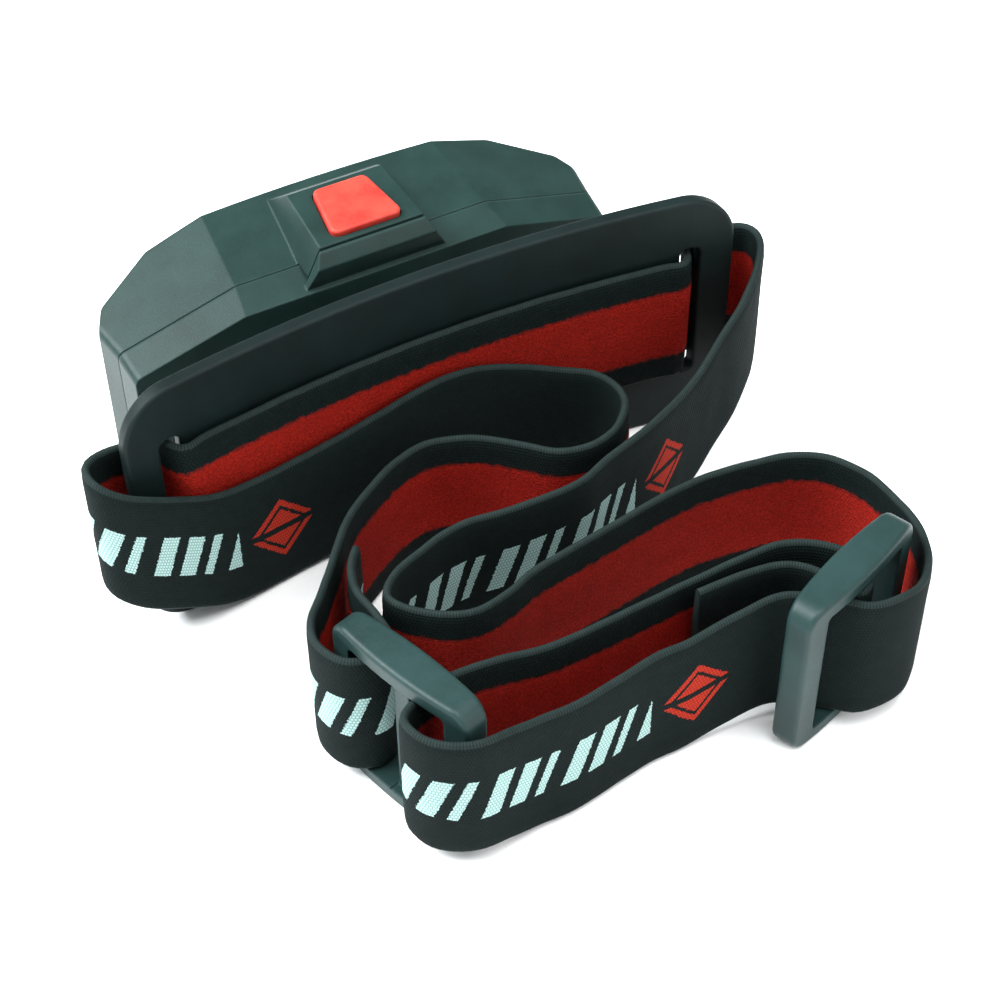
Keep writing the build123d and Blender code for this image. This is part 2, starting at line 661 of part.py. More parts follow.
# ---- case_seal: band in the groove of the parting face, over the top and down both ends
with BuildPart() as case_seal:
    with BuildSketch(at_y(PARTING_Y + 2 * FIT)):
        add(outline(PARTING_Y + 2 * FIT, TOP_PARTING, FLAT_HALF, CASE_HALF, SEAL_OUTER + SEAL_PLAY))
        seal_inner = SEAL_OUTER + SEAL_BAND - SEAL_PLAY
        add(
            outline(PARTING_Y + 2 * FIT, TOP_PARTING, FLAT_HALF, CASE_HALF, seal_inner),
            mode=Mode.SUBTRACT,
        )
        with Locations((0, SEAL_LOW + SEAL_PLAY)):
            Rectangle(2 * CASE_HALF, TOP_FRONT, align=(Align.CENTER, Align.MIN), mode=Mode.INTERSECT)
    extrude(amount=-(SEAL_DEPTH - FIT))
save(case_seal.part, "case_seal")

# ---- power_button: cap over the crest, stem through it and a flange that keeps it in
FLANGE_TOP = CREST_WALL + FLANGE_GAP
with BuildPart() as power_button:
    with BuildSketch(crest_plane(CAP_DEPTH)):
        add(button_face())
    extrude(amount=CAP_DEPTH + BUTTON_PROUD)
    fillet(power_button.faces().sort_by(Axis.Z)[-1].edges(), BUTTON_EDGE)
    with BuildSketch(crest_plane(CAP_DEPTH)):
        add(stem_face())
    extrude(amount=-(FLANGE_TOP + FLANGE_THICKNESS - CAP_DEPTH))
    with BuildSketch(crest_plane(FLANGE_TOP)):
        add(stem_face(FLANGE_OVER))
    extrude(amount=-FLANGE_THICKNESS)
save(power_button.part, "power_button")

# ---- tactile switch on its own small board under the button
switch_place = (0, SWITCH_SHIFT)
with BuildPart() as switch_body:
    with BuildSketch(crest_plane(SWITCH_TOP)):
        with Locations(switch_place):
            RectangleRounded(SWITCH_SIZE, SWITCH_SIZE, 0.5)
    extrude(amount=-SWITCH_HEIGHT)
    with BuildSketch(crest_plane(SWITCH_TOP)):
        with Locations(switch_place):
            Circle(PLUNGER_R + 0.1)
    extrude(amount=-(SWITCH_HEIGHT - SWITCH_FLOOR), mode=Mode.SUBTRACT)
save(switch_body.part, "switch_body")

with BuildPart() as switch_plunger:
    with BuildSketch(crest_plane(FLANGE_TOP + FLANGE_THICKNESS + PLUNGER_GAP)):
        with Locations(switch_place):
            Circle(PLUNGER_R)
    extrude(amount=-PLUNGER_LENGTH)
save(switch_plunger.part, "switch_plunger")

with BuildPart() as switch_board:
    with BuildSketch(crest_plane(switch_bottom)):
        with Locations(switch_place):
            Rectangle(SWITCH_BOARD_LENGTH, SWITCH_SIZE)
    extrude(amount=-SWITCH_BOARD)
save(switch_board.part, "switch_board")

# ---- lens, its seal, the reflector and the light bar behind them
FLANGE_FACE = WALL + SEAL_THICKNESS
FLANGE_BACK = FLANGE_FACE + LENS_FLANGE

with BuildPart() as lens:
    half = WINDOW_HALF - FIT
    add(
        front_skin(LENS_RECESS, FLANGE_BACK, half, WINDOW_LOW + FIT, WINDOW_HIGH - FIT, WINDOW_CORNER)
    )
    low = WINDOW_LOW - SEAL_WIDTH
    high = WINDOW_HIGH + SEAL_WIDTH
    add(front_skin(FLANGE_FACE, FLANGE_BACK, WINDOW_HALF + SEAL_WIDTH, low, high, WINDOW_CORNER))
save(lens.part, "lens")

with BuildPart() as lens_seal:
    add(front_skin(WALL, FLANGE_FACE, WINDOW_HALF + SEAL_WIDTH, low, high, WINDOW_CORNER))
    add(
        front_skin(WALL, FLANGE_FACE, WINDOW_HALF, WINDOW_LOW, WINDOW_HIGH, WINDOW_CORNER),
        mode=Mode.SUBTRACT,
    )
save(lens_seal.part, "lens_seal")

board_front = LED_BOARD_Y + LED_BOARD_THICKNESS
with BuildPart() as reflector:
    skin_low = WINDOW_LOW + REFLECTOR_GAP
    skin_high = WINDOW_HIGH - REFLECTOR_GAP
    skin_depth = FRONT_Y - LED_BOARD_Y + LED_BOARD_THICKNESS + FLANGE_BACK
    skin_corner = WINDOW_CORNER - 1
    add(front_skin(FLANGE_BACK, skin_depth, REFLECTOR_HALF, skin_low, skin_high, skin_corner))
    behind = (-PLATE_LENGTH, 0, 0), (PLATE_LENGTH, board_front, PLATE_HEIGHT)
    add(box_from(*behind), mode=Mode.SUBTRACT)
    with BuildSketch(at_y(board_front)):
        with Locations((0, MID_Z)):
            Rectangle(2 * (STRIP_HALF + FUNNEL_THROAT), STRIP_HEIGHT + 2 * FUNNEL_THROAT)
    with BuildSketch(at_y(board_front + REFLECTOR_DEPTH)):
        with Locations((0, MID_Z)):
            Rectangle(2 * (STRIP_HALF + FUNNEL_END), STRIP_HEIGHT + 2 * FUNNEL_SIDE)
    loft(mode=Mode.SUBTRACT)
save(reflector.part, "reflector")

with BuildPart() as led_board:
    with BuildSketch(at_y(LED_BOARD_Y)):
        with Locations((0, MID_Z)):
            RectangleRounded(2 * LED_BOARD_HALF, LED_BOARD_HEIGHT, BOARD_CORNER)
    extrude(amount=-LED_BOARD_THICKNESS)
save(led_board.part, "led_board")

with BuildPart() as led_strip:
    with BuildSketch(at_y(board_front)):
        with Locations((0, MID_Z)):
            Rectangle(2 * STRIP_HALF, STRIP_HEIGHT)
    extrude(amount=-STRIP_THICKNESS)
save(led_strip.part, "led_strip")

with BuildPart() as driver_board:
    with BuildSketch(at_y(DRIVER_Y)):
        with Locations((0, DRIVER_Z)):
            RectangleRounded(2 * DRIVER_HALF, DRIVER_HEIGHT, BOARD_CORNER)
    extrude(amount=-DRIVER_THICKNESS)
    with BuildSketch(at_y(DRIVER_Y + DRIVER_THICKNESS)):
        with Locations(*SQUARE_CHIP_PLACES):
            Rectangle(SQUARE_CHIP, SQUARE_CHIP)
        with Locations(*LONG_CHIP_PLACES):
            Rectangle(*LONG_CHIP)
    extrude(amount=-CHIP_HEIGHT)
save(driver_board.part, "driver_board")

# ---- battery tray with its cells, springs, contacts, screws and leads
cell_heights = [CELL_LOW_Z + k * CELL_PITCH for k in range(3)]
inner_end = (CELL_LENGTH + SPRING_LENGTH) / 2 + CONTACT_THICKNESS
end_low = CELL_LOW_Z - CELL_R + END_LOW_TRIM
end_high = cell_heights[-1] + CELL_R - END_HIGH_TRIM

with BuildPart() as battery_tray:
    with BuildSketch(at_y(TRAY_Y)):
        with Locations((0, (TRAY_LOW + TRAY_HIGH) / 2)):
            RectangleRounded(2 * TRAY_HALF, TRAY_HIGH - TRAY_LOW, TRAY_CORNER)
        for x in (-SCREW_X, SCREW_X):
            with Locations((x, sum(TAB_SPAN) / 2)):
                Rectangle(2 * BOSS_HALF, TAB_SPAN[1] - TAB_SPAN[0])
            with Locations((x, SCREW_Z[0]), (x, SCREW_Z[1])):
                Circle(SCREW_R + 0.1, mode=Mode.SUBTRACT)
        with Locations((LEAD_X, cell_heights[0]), (-LEAD_X, cell_heights[-1])):
            Circle(LEAD_R + 0.3, mode=Mode.SUBTRACT)
    extrude(amount=-TRAY_FLOOR)
    for side in (-1, 1):
        start = min(side * inner_end, side * (inner_end + TRAY_END))
        add(box_from((start, TRAY_REAR_Y, end_low), (start + TRAY_END, TRAY_Y, end_high)))
        with BuildSketch(at_y(TRAY_Y + TRAY_FLOOR)):
            with Locations(*((side * POST_X, z) for z in POST_Z)):
                Circle(POST_R)
        extrude(amount=-(LED_BOARD_Y - TRAY_Y - TRAY_FLOOR))
        rest_low = side * (DRIVER_HALF - REST_INSET) - REST_WIDTH / 2
        rest_end = (rest_low + REST_WIDTH, DRIVER_Y, REST_SPAN[1])
        add(box_from((rest_low, TRAY_Y + TRAY_FLOOR, REST_SPAN[0]), rest_end))
    rib_half = inner_end - CONTACT_THICKNESS
    for z in cell_heights[:-1]:
        rib_low = z + (CELL_PITCH - RIB_THICKNESS) / 2
        add(box_from((-rib_half, RIB_Y, rib_low), (rib_half, TRAY_Y, rib_low + RIB_THICKNESS)))
    for side, z in ((1, cell_heights[0]), (-1, cell_heights[-1])):
        start = side * inner_end
        with BuildSketch(along_x(start)):
            with Locations((LEAD_Y, z)):
                Circle(LEAD_R + 0.1)
        extrude(amount=side * TRAY_END, mode=Mode.SUBTRACT)
save(battery_tray.part, "battery_tray")

for number, z in enumerate(cell_heights, start=1):
    side = 1 if number % 2 else -1
    plus_end = side * (inner_end - CONTACT_THICKNESS)
    with BuildPart() as cell:
        with BuildSketch(along_x(plus_end - side * CELL_NUB)):
            with Locations((CELL_Y, z)):
                Circle(CELL_R)
        extrude(amount=-side * (CELL_LENGTH - CELL_NUB))
        fillet(cell.edges().filter_by(GeomType.CIRCLE), CELL_EDGE)
        with BuildSketch(along_x(plus_end - side * CELL_NUB)):
            with Locations((CELL_Y, z)):
                Circle(CELL_NUB_R)
        extrude(amount=side * CELL_NUB)
    save(cell.part, f"cell_{number}")

with BuildPart() as cell_springs:
    for number, z in enumerate(cell_heights):
        side = -1 if number % 2 == 0 else 1
        start = side * (inner_end - CONTACT_THICKNESS - SPRING_WIRE_R)
        height = SPRING_LENGTH - 2 * SPRING_WIRE_R
        with BuildLine() as coil:
            Helix(
                pitch=height / SPRING_TURNS,
                height=height,
                radius=SPRING_R,
                center=(start, CELL_Y, z),
                direction=(-side, 0, 0),
            )
        with BuildSketch(Plane(coil.line @ 0, z_dir=coil.line % 0)):
            Circle(SPRING_WIRE_R)
        sweep(path=coil.line)
save(cell_springs.part, "cell_springs")

contact_spans = (
    (1, cell_heights[0], cell_heights[0]),
    (1, cell_heights[1], cell_heights[2]),
    (-1, cell_heights[0], cell_heights[1]),
    (-1, cell_heights[2], cell_heights[2]),
)
with BuildPart() as contact_plates:
    for side, low_z, high_z in contact_spans:
        start = min(side * inner_end, side * (inner_end - CONTACT_THICKNESS))
        corner = (start, CELL_Y - CONTACT_HALF, low_z - CONTACT_HALF)
        end = (start + CONTACT_THICKNESS, CELL_Y + CONTACT_HALF, high_z + CONTACT_HALF)
        add(box_from(corner, end))
save(contact_plates.part, "contact_plates")

with BuildPart() as tray_screws:
    for x in (-SCREW_X, SCREW_X):
        with BuildSketch(at_y(TRAY_Y)):
            with Locations((x, SCREW_Z[0]), (x, SCREW_Z[1])):
                Circle(SCREW_HEAD_R)
        extrude(amount=SCREW_HEAD)
        with BuildSketch(at_y(TRAY_Y)):
            with Locations((x, SCREW_Z[0]), (x, SCREW_Z[1])):
                Circle(SCREW_R)
        extrude(amount=-SCREW_LENGTH)
save(tray_screws.part, "tray_screws")

lead_y = DRIVER_Y + DRIVER_THICKNESS + LEAD_R
for name, side, z in (("lead_red", 1, cell_heights[0]), ("lead_black", -1, cell_heights[-1])):
    with BuildPart() as lead:
        with BuildLine() as path:
            FilletPolyline(
                (side * inner_end, LEAD_Y, z),
                (side * LEAD_X, LEAD_Y, z),
                (side * LEAD_X, lead_y, z),
                (side * (DRIVER_HALF - 2), lead_y, z),
                radius=LEAD_BEND,
            )
        with BuildSketch(Plane(path.line @ 0, z_dir=path.line % 0)):
            Circle(LEAD_R)
        sweep(path=path.line)
    save(lead.part, name)


# ---- buckles: flat adjusters with three upright bars between two rails
def adjuster(x, y, angle):
    """A three-bar adjuster standing on its lower rail, its length turned by an angle about +Z."""
    half = BUCKLE_LENGTH / 2
    tip = BUCKLE_END_THICKNESS / 2
    belly = BUCKLE_THICKNESS / 2
    opening = (BUCKLE_LENGTH - 2 * BUCKLE_END_BAR - BUCKLE_MID_BAR) / 2
    opening_height = BUCKLE_HEIGHT - 2 * BUCKLE_RAIL
    step = (BUCKLE_MID_BAR + opening) / 2
    with BuildPart() as frame:
        with BuildSketch():
            with BuildLine():
                ThreePointArc((-half, -tip), (0, -belly), (half, -tip))
                Line((half, -tip), (half, tip))
                ThreePointArc((half, tip), (0, belly), (-half, tip))
                Line((-half, tip), (-half, -tip))
            make_face()
        extrude(amount=BUCKLE_HEIGHT)
        with BuildSketch(Plane.XZ.offset(-BUCKLE_THICKNESS)):
            with Locations((0, BUCKLE_HEIGHT / 2)):
                RectangleRounded(BUCKLE_LENGTH, BUCKLE_HEIGHT, BUCKLE_CORNER)
        extrude(amount=2 * BUCKLE_THICKNESS, mode=Mode.INTERSECT)
        curved = frame.faces().filter_by(GeomType.CYLINDER).sort_by(SortBy.AREA)[-2:]
        fillet(curved.edges(), BUCKLE_EDGE)
        with BuildSketch(Plane.XZ.offset(-BUCKLE_THICKNESS)):
            with Locations((-step, BUCKLE_HEIGHT / 2), (step, BUCKLE_HEIGHT / 2)):
                RectangleRounded(opening, opening_height, BUCKLE_OPENING_CORNER)
        extrude(amount=2 * BUCKLE_THICKNESS, mode=Mode.SUBTRACT)
        inner_high = BUCKLE_HEIGHT - BUCKLE_RAIL
        bar = BUCKLE_MID_BAR / 2
        for low, high in ((-BUCKLE_THICKNESS, -bar), (bar, BUCKLE_THICKNESS)):
            add(
                box_from((-bar - 0.5, low, BUCKLE_RAIL), (bar + 0.5, high, inner_high)),
                mode=Mode.SUBTRACT,
            )
    return Pos(x, y, 0) * Rot(0, 0, angle) * frame.part


save(adjuster(*BUCKLE_A_PLACE), "buckle_a")
save(adjuster(*BUCKLE_B_PLACE), "buckle_b")


# ---- webbing: one strap, named piece by piece along its run; each stop is (x, y, lower edge)
def smooth_run(stops, steps=3):
    """Places on a smooth curve through the stops, with the same lower edges in between."""
    places = []
    last = len(stops) - 1
    for i in range(last):
        around = [stops[max(i - 1, 0)], stops[i], stops[i + 1], stops[min(i + 2, last)]]
        for k in range(steps):
            t = k / steps
            blend = (
                -0.5 * t + t**2 - 0.5 * t**3,
                1 - 2.5 * t**2 + 1.5 * t**3,
                0.5 * t + 2 * t**2 - 1.5 * t**3,
                -0.5 * t**2 + 0.5 * t**3,
            )
            places.append([sum(w * p[c] for w, p in zip(blend, around)) for c in range(3)])
    places.append(list(stops[last]))
    return places


def webbing(places, first, last):
    """The band of webbing on edge between two of the places."""
    with BuildPart() as band:
        for i in range(first, last + 1):
            x, y, low = places[i]
            before = places[max(i - 1, 0)]
            after = places[min(i + 1, len(places) - 1)]
            run = Vector(after[0] - before[0], after[1] - before[1], 0).normalized()
            origin = (x, y, low + STRAP_WIDTH / 2)
            with BuildSketch(Plane(origin=origin, x_dir=(-run.Y, run.X, 0), z_dir=run)):
                Rectangle(STRAP_THICKNESS, STRAP_WIDTH)
        loft(ruled=True)
    return band.part


strap_run = smooth_run([stop for _, stops in STRAP_STOPS for stop in stops])
start = 0
for name, stops in STRAP_STOPS:
    end = min(start + 3 * len(stops), len(strap_run) - 1)
    save(webbing(strap_run, start, end), name)
    start = end
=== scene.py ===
"""Looks of the light-bar headlamp: woven strap, moulded plastics, lens, cells and a plain studio."""

import math

import bpy
from mathutils import Matrix, Vector, noise


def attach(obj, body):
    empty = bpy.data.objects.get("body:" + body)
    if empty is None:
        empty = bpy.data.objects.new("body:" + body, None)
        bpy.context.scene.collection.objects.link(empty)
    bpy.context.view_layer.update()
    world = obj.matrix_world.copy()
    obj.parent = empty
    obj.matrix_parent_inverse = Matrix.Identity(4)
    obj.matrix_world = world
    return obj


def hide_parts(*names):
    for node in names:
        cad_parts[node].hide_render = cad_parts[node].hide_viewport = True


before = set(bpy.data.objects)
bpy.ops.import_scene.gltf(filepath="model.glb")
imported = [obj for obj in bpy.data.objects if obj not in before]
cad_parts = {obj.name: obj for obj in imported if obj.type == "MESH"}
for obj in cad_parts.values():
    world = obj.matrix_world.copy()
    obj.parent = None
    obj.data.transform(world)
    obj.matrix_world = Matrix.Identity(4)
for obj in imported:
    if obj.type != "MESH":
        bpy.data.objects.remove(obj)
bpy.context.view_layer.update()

MM = 0.001

# ---- webbing
STRAP_WIDTH = 25.0
STRAP_THICKNESS = 1.5
SLOT_EDGE = 12.2
LINING_HALF = 7.0  # half width of the brushed red stripe on the inner face
STATION = 1.1  # spacing of the ribbon's cross sections
MARK_LEAD = 24.0  # the bars come before their mark, so a mark rules this much more of the run before it
EMBLEMS = ((7.2, -69.4), (28.8, -23.4), (-32.3, -6.5))  # where red marks are woven, in plan
EDGE_ROUND = 0.7  # how far in from each side the flat faces end
FACE_STEPS = 11  # steps between the points of a face, from its middle to its side
EDGE_BAND = 1.0  # the outermost strip of each face, which falls away
EDGE_FALL = 0.12
SELVEDGE_BULGE = 0.2  # how far the woven edge stands out in the middle of the thickness
SELVEDGE_SHARE = 0.55  # share of the thickness over which it stands out
PILE_HEIGHT = 0.16  # how far the brushed stripe stands above the weave
WAVE = 0.12  # how unevenly the webbing's width runs
WAVE_SHARE = 0.006
FRILL = 0.1  # how much its faces ripple

# ---- the woven pattern, in millimetres along the strap from a red mark
BARS_FROM = -56.0
BARS_TO = -8.2
BAR_PITCH = 4.7
BAR_SLANT = 0.35
BAR_REACH = 4.3
BAR_SHARES = (0.34, 0.62)  # widths of a narrow and of a broad bar, as shares of the pitch
DIAMOND_HALF = 6.4
DIAMOND_RING = (4.2, 5.0)
DIAMOND_SPLIT = 0.6
YARN_JITTER = 0.7

# Stops of the webbing from one cut end to the other: (x, y, height of the lower edge), in millimetres.
STRAP_STOPS = (
    [(11, -64.2, 3), (20, -64.6, 3), (26, -66.2, 3), (29.3, -70, 3), (29.3, -74, 3)]
    + [(32.3, -76.4, 3), (35.7, -73.4, 3), (35.6, -69, 3), (32, -64.5, 3)]
    + [(27, -62, 3), (20, -61.2, 2.4), (8, -60.5, 1), (-3, -61, 1), (-13, -61, 1)]
    + [(-21, -60.5, 2.4), (-28, -60.3, 3), (-33, -61.3, 3), (-37, -62.8, 3), (-38.3, -65, 3)]
    + [(-36.8, -69.5, 3), (-32, -72.8, 3), (-26, -72.6, 2), (-20, -72, 0.8), (-14, -72, 0.5)]
    + [(-7, -71, 0.5), (0, -70, 0.5), (6, -70, 0.5), (14, -70, 1.6), (21.6, -71, 3)]
    + [(28, -75.7, 3), (32, -79.2, 3), (37, -80, 3), (42, -78.4, 2), (47, -73.5, 1)]
    + [(50, -67, 0.4), (50.5, -60, 0.3), (50, -54, 0.3), (47, -48, 0.3), (42, -44.5, 0.3)]
    + [(36, -43, 0.3), (29, -42, 0.3), (22, -42, 0.3), (14, -43, 0.3), (4, -44.5, 0.3)]
    + [(-6, -46, 0.3), (-12, -48, 0.3), (-18, -49, 0.3), (-23, -47, 0.3)]
    + [(-27, -43, 0.3), (-28.3, -39.3, 0.3), (-25, -36, 0.3), (-20, -34, 0.3), (-15, -32.4, 0.3)]
    + [(-10, -32, 0.3), (-2, -33, 0.3), (9, -33, 0.3), (16, -30.6, 0.3), (27, -27, 0.3)]
    + [(38, -22, 0.5), (45, -19, 4.5), (51, -16.4, 8), (57, -12, 11.2), (60.6, -7, SLOT_EDGE)]
    + [(60.2, -3.2, SLOT_EDGE), (56.5, -1.6, SLOT_EDGE), (52.5, -1.9, SLOT_EDGE)]
    + [(50, -2.0, SLOT_EDGE), (48.3, -2.9, SLOT_EDGE), (47.6, -4.3, SLOT_EDGE)]
    + [(46.9, -5.7, SLOT_EDGE), (45.0, -6.8, SLOT_EDGE), (40, -5.6, SLOT_EDGE)]
    + [(20, -3.2, SLOT_EDGE), (0, -2.4, SLOT_EDGE), (-20, -3.2, SLOT_EDGE)]
    + [(-40, -5.6, SLOT_EDGE), (-45.0, -6.8, SLOT_EDGE), (-46.9, -5.7, SLOT_EDGE)]
    + [(-47.6, -4.3, SLOT_EDGE), (-48.3, -2.9, SLOT_EDGE), (-50, -2.0, SLOT_EDGE)]
    + [(-52.5, -1.9, SLOT_EDGE), (-57, -1.6, SLOT_EDGE), (-60.6, -3.4, SLOT_EDGE)]
    + [(-60.4, -7.6, 11.6), (-56.5, -9.6, 9), (-50, -9.6, 5.5), (-43, -8.8, 2)]
    + [(-36, -7.6, 0.7), (-28, -6.4, 0.6), (-21, -5.6, 1), (-12, -5.2, 2.6), (-3, -5, 4.6)]
    + [(5, -5, 4.6), (12, -5.5, 2.8), (20, -8, 0.6), (25, -12, 0.5), (26.5, -17, 0.5)]
    + [(25, -21.5, 0.5), (20.4, -25.4, 0.4), (15, -26.5, 0.3), (10, -25, 0.3), (5, -20, 0.3)]
    + [(0, -15.6, 0.3), (-7, -13, 0.3), (-13, -14, 0.3), (-19, -17, 0.3), (-25, -21, 0.3)]
    + [(-29, -25, 0.3), (-33, -30, 0.5), (-38, -36.5, 2), (-41.5, -41, 3), (-42.6, -45.5, 3)]
    + [(-40.6, -50.2, 3), (-36, -51.8, 3), (-32.8, -49.5, 3), (-32.4, -44, 3)]
    + [(-32.6, -38, 2.4), (-30.5, -32, 1), (-28, -28.5, 0.6)]
)


# ---- a short way to write node materials
class Tree:
    """A material being wired up: each call adds a node, and returns one of its outputs."""

    def __init__(self, name):
        self.material = bpy.data.materials.new(name)
        self.material.use_nodes = True
        self.nodes = self.material.node_tree.nodes
        self.links = self.material.node_tree.links
        self.shader = self.nodes["Principled BSDF"]

    def put(self, node, key, value):
        """Sets an input to a number or colour, or links an output to it."""
        socket = node.inputs[key]
        if isinstance(value, bpy.types.NodeSocket):
            self.links.new(value, socket)
        else:
            socket.default_value = value

    def node(self, kind, out=0, settings=None, **inputs):
        made = self.nodes.new("ShaderNode" + kind)
        for key, value in (settings or {}).items():
            setattr(made, key, value)
        for key, value in inputs.items():
            self.put(made, key.replace("_", " "), value)
        return made.outputs[out]

    def math(self, operation, a, b=0.0, clamp=False):
        made = self.nodes.new("ShaderNodeMath")
        made.operation = operation
        made.use_clamp = clamp
        self.put(made, 0, a)
        self.put(made, 1, b)
        return made.outputs[0]

    def mix(self, factor, a, b):
        made = self.nodes.new("ShaderNodeMix")
        made.data_type = "RGBA"
        self.put(made, 0, factor)
        self.put(made, 6, a)
        self.put(made, 7, b)
        return made.outputs[2]

    def ramp(self, value, low, high):
        """The value stretched so that low becomes 0 and high becomes 1."""
        made = self.nodes.new("ShaderNodeMapRange")
        self.put(made, "Value", value)
        self.put(made, "From Min", low)
        self.put(made, "From Max", high)
        return made.outputs[0]

    def span(self, value, low, high):
        """The value, from 0 to 1, laid onto low to high."""
        made = self.nodes.new("ShaderNodeMapRange")
        self.put(made, "Value", value)
        self.put(made, "To Min", low)
        self.put(made, "To Max", high)
        return made.outputs[0]

    def place(self):
        return self.node("TexCoord", out=3)

    def grain(self, size, detail=2.0, place=None, rough=0.55):
        """Noise whose lumps are about size millimetres across."""
        spot = self.place() if place is None else place
        return self.node(
            "TexNoise", Vector=spot, Scale=1.0 / (size * MM), Detail=detail, Roughness=rough
        )

    def bump(self, height, depth, strength=1.0, normal=None):
        made = self.nodes.new("ShaderNodeBump")
        self.put(made, "Height", height)
        self.put(made, "Distance", depth * MM)
        self.put(made, "Strength", strength)
        if normal is not None:
            self.put(made, "Normal", normal)
        return made.outputs[0]

    def finish(self, **inputs):
        for key, value in inputs.items():
            self.put(self.shader, key.replace("_", " "), value)
        return self.material


def rgb(red, green, blue):
    """A colour given as 0-255 display values, as the linear values that shaders take."""
    linear = []
    for value in (red, green, blue):
        share = value / 255
        linear.append(share / 12.92 if share <= 0.04045 else ((share + 0.055) / 1.055) ** 2.4)
    return (*linear, 1.0)


def moulded(name, dark, light, rough=0.5, grain=0.28, depth=0.03, edge=0.35, shine=0.2):
    """Moulded plastic: spark-eroded grain, faint flow marks and edges lightened by a painted highlight.
    """
    t = Tree(name)
    flow = t.grain(9.0, detail=4.0)
    speck = t.grain(grain, detail=2.0)
    soft = t.node("Bevel", settings={"samples": 4}, Radius=0.55 * MM)
    flat = t.node("NewGeometry", out=1)
    turn = t.nodes.new("ShaderNodeVectorMath")
    turn.operation = "DOT_PRODUCT"
    t.put(turn, 0, soft)
    t.put(turn, 1, flat)
    # Painted highlight: edges, found where the bevelled normal turns from the true one, are lightened
    # towards pale by a grain-varied amount up to edge.
    rim = t.ramp(turn.outputs[1], 0.995, 0.86)
    painted_edge_highlight = t.math("MULTIPLY", rim, t.span(t.grain(2.2, detail=3.0), 0.2, edge))
    body = t.mix(t.ramp(flow, 0.3, 0.7), dark, light)
    body = t.mix(t.math("MULTIPLY", t.ramp(speck, 0.45, 0.75), 0.35), body, light)
    pale = tuple(min(1.0, 2.6 * c + 0.01) for c in light[:3]) + (1.0,)
    colour = t.mix(painted_edge_highlight, body, pale)
    gloss = t.span(speck, rough - 0.1, rough + 0.12)
    return t.finish(
        Base_Color=colour,
        Roughness=gloss,
        Normal=t.bump(speck, depth, 0.55, normal=soft),
        Specular_IOR_Level=shine,
    )


def metal(name, colour, rough=0.3, brushed=True):
    """Bare or plated metal with fine drawing marks and handling smudges."""
    t = Tree(name)
    spot = t.place()
    stretched = t.node("Mapping", Vector=spot, Scale=(0.06, 1.0, 1.0) if brushed else (1, 1, 1))
    marks = t.grain(0.12, detail=3.0, place=stretched)
    smudge = t.grain(3.0, detail=3.0)
    paler = tuple(min(1.0, 1.25 * c) for c in colour[:3]) + (1.0,)
    return t.finish(
        Base_Color=t.mix(t.ramp(smudge, 0.3, 0.7), colour, paler),
        Metallic=1.0,
        Roughness=t.span(marks, rough - 0.12, rough + 0.16),
        Normal=t.bump(marks, 0.006, 0.4),
    )


def silicone(name, dark, light, sparkle=0.25):
    """Soft rubbery plastic with a pebbled skin and fine pale specks."""
    t = Tree(name)
    pebble = t.grain(0.35, detail=3.0)
    cloud = t.grain(4.0, detail=3.0)
    speck = t.ramp(t.grain(0.16, detail=0.0), 0.66, 0.78)
    soft = t.node("Bevel", settings={"samples": 4}, Radius=0.6 * MM)
    body = t.mix(t.ramp(cloud, 0.3, 0.7), dark, light)
    pale = tuple(min(1.0, 1.7 * c + 0.02) for c in light[:3]) + (1.0,)
    return t.finish(
        Base_Color=t.mix(t.math("MULTIPLY", speck, sparkle), body, pale),
        Roughness=t.span(pebble, 0.42, 0.6),
        Subsurface_Weight=0.08,
        Subsurface_Scale=0.002,
        Specular_IOR_Level=0.3,
        Normal=t.bump(pebble, 0.03, 0.5, normal=soft),
    )


def clear_lens(name):
    """Clear polycarbonate with shallow upright flutes on its inside."""
    t = Tree(name)
    spot = t.node("SeparateXYZ", Vector=t.place())
    flute = t.math("SINE", t.math("MULTIPLY", spot, 2 * math.pi / (2.4 * MM)))
    haze = t.grain(1.5, detail=4.0)
    return t.finish(
        Base_Color=t.mix(haze, (0.86, 0.91, 0.92, 1), (0.93, 0.95, 0.96, 1)),
        Roughness=t.span(haze, 0.03, 0.09),
        Specular_IOR_Level=0.4,
        IOR=1.58,
        Transmission_Weight=0.94,
        Normal=t.bump(flute, 0.12, 0.35),
    )


def circuit(name, mask, line):
    """A solder-masked board with faint tracks under the mask."""
    t = Tree(name)
    spot = t.place()
    tracks = t.node("TexBrick", out=1, Vector=spot, Scale=260.0)
    tint = t.grain(3.0, detail=2.0)
    return t.finish(
        Base_Color=t.mix(t.math("MULTIPLY", t.ramp(tint, 0.4, 0.6), 0.5), mask, line),
        Roughness=t.span(t.grain(0.4), 0.25, 0.42),
        Normal=t.bump(tracks, 0.02, 0.4),
    )


def led_gel(name):
    """The phosphor bar: warm yellow gel with a row of faint brighter dies."""
    t = Tree(name)
    spot = t.node("SeparateXYZ", Vector=t.place())
    cell = t.math("SINE", t.math("MULTIPLY", spot, 2 * math.pi / (2.2 * MM)))
    die = t.ramp(cell, 0.2, 0.9)
    return t.finish(
        Base_Color=t.mix(die, rgb(182, 138, 26), rgb(206, 170, 58)),
        Roughness=t.span(t.grain(0.6), 0.22, 0.4),
        Normal=t.bump(cell, 0.1, 0.3),
    )


